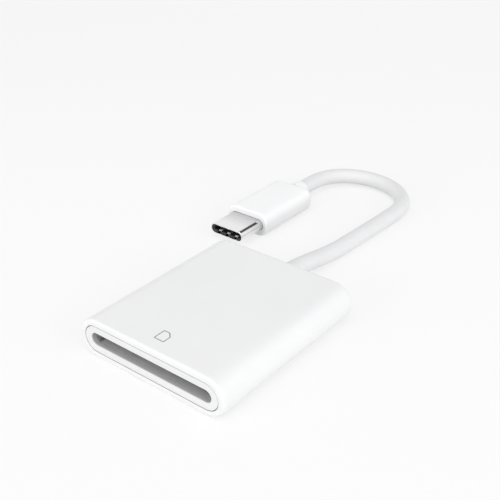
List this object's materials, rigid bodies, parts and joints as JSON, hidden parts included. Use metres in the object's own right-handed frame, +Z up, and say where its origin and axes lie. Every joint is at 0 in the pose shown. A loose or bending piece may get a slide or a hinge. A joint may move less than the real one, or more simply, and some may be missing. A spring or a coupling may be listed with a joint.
{
  "type": "usb memory card reader",
  "caption": "Flat white memory card reader with round sides, a card slot in its front and a short cord from its rear that ends in a slim reversible plug.",
  "frame": {"origin": "centre of the housing's flat underside, on the table", "axes": "+X across the card slot, +Y from the slot to the cord end, +Z up; the card goes in along +Y"},
  "size_m": [0.0404, 0.0859, 0.0073],
  "materials": {
    "housing_white": "smooth glossy white moulding",
    "bezel_white": "satin white moulding",
    "tray_plastic": "plain moulded plastic",
    "board_laminate": "solder-masked laminate",
    "socket_grey": "grey moulded plastic",
    "plug_black": "black moulded plastic",
    "sheet_steel": "bright folded sheet",
    "contact_gold": "gold-plated spring strip",
    "chip_black": "moulded chip package",
    "ceramic_tan": "fired ceramic with tinned ends",
    "anchor_white": "soft white moulding",
    "core_red": "wire insulation",
    "solder": "bright solder",
    "cord_white": "soft satin white jacket",
    "grip_white": "smooth white moulding",
    "shell_steel": "polished drawn steel"
  },
  "bodies": {
    "root": {"housing_sleeve": "housing_white", "front_bezel": "bezel_white", "board_tray": "tray_plastic", "circuit_board": "board_laminate", "socket_base": "socket_grey", "socket_cover": "sheet_steel", "card_contacts": "contact_gold", "detect_switch": "contact_gold", "protect_switch": "contact_gold", "controller_chip": "chip_black", "firmware_chip": "chip_black", "voltage_regulator": "chip_black", "crystal": "sheet_steel", "chip_capacitors": "ceramic_tan", "chip_resistors": "chip_black", "cord_anchor": "anchor_white", "cord_cores": "core_red", "core_solder": "solder", "cord": "cord_white", "plug_grip": "grip_white", "plug_shell": "shell_steel", "plug_insulator": "plug_black", "plug_contacts_upper": "contact_gold", "plug_contacts_lower": "contact_gold", "plug_latch": "sheet_steel", "plug_shield_springs": "sheet_steel", "plug_board": "board_laminate", "plug_can": "sheet_steel", "plug_cores": "core_red", "plug_resistors": "chip_black"}
  },
  "joints": []
}
